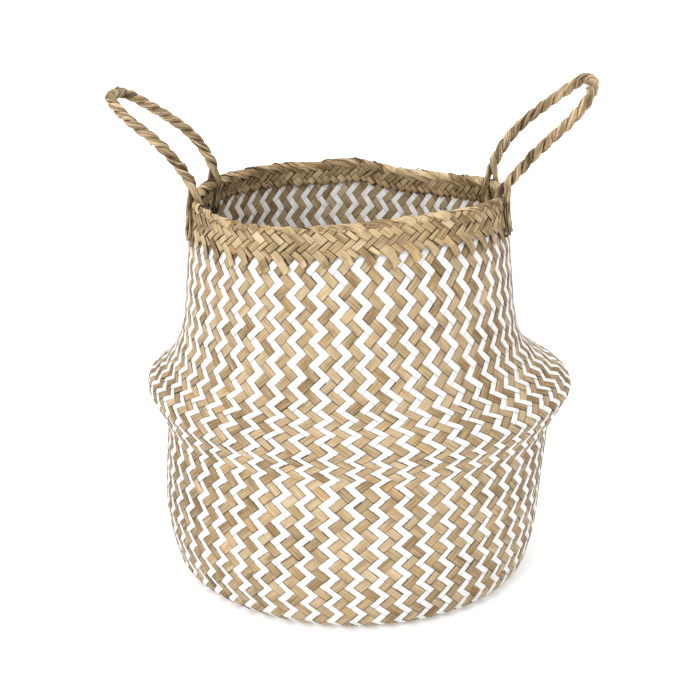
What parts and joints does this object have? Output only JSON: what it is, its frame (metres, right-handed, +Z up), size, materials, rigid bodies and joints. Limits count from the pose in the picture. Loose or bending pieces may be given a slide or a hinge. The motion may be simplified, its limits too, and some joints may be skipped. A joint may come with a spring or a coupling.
{
  "type": "woven market basket",
  "caption": "Round belly basket in two-tone seagrass twill with a folded plain rim and two twisted rope handles; the belly folds down flat.",
  "frame": {"origin": "middle of the flat base, at the floor", "axes": "+Z up; the handles stand at +X and -X; the front is -Y"},
  "size_m": [0.3407, 0.32, 0.3608],
  "materials": {
    "woven_seagrass": "matte dried seagrass strips, natural and white, plaited",
    "natural_seagrass": "matte dried seagrass strips in their natural tan",
    "seagrass_rope": "matte twisted seagrass rope"
  },
  "bodies": {
    "lower_body": {"base_weave": "woven_seagrass", "base_corner": "woven_seagrass", "side_wall": "woven_seagrass", "belly_underside": "woven_seagrass", "belly_shoulder": "woven_seagrass"},
    "neck": {"neck_wall": "woven_seagrass", "rim_border": "natural_seagrass", "right_front_tie_strand": "seagrass_rope", "right_rear_tie_strand": "seagrass_rope", "left_front_tie_strand": "seagrass_rope", "left_rear_tie_strand": "seagrass_rope"},
    "right_handle": {"right_handle_ply_a": "seagrass_rope", "right_handle_ply_b": "seagrass_rope"},
    "left_handle": {"left_handle_ply_a": "seagrass_rope", "left_handle_ply_b": "seagrass_rope"}
  },
  "joints": [
    {"name": "belly_fold", "type": "slide", "parent": "lower_body", "child": "neck", "axis": [0, 0, 1], "range_m": [-0.085, 0], "deforming": ["belly_shoulder"]},
    {"name": "right_handle_swing", "type": "hinge", "parent": "neck", "child": "right_handle", "pos_m": [0.10391, 0, 0.2868], "axis": [0, 1, 0], "range_deg": [-105, 45]},
    {"name": "left_handle_swing", "type": "hinge", "parent": "neck", "child": "left_handle", "pos_m": [-0.10351, 0.00906, 0.28406], "axis": [-0.0872, -0.9962, 0], "range_deg": [-105, 45]}
  ]
}
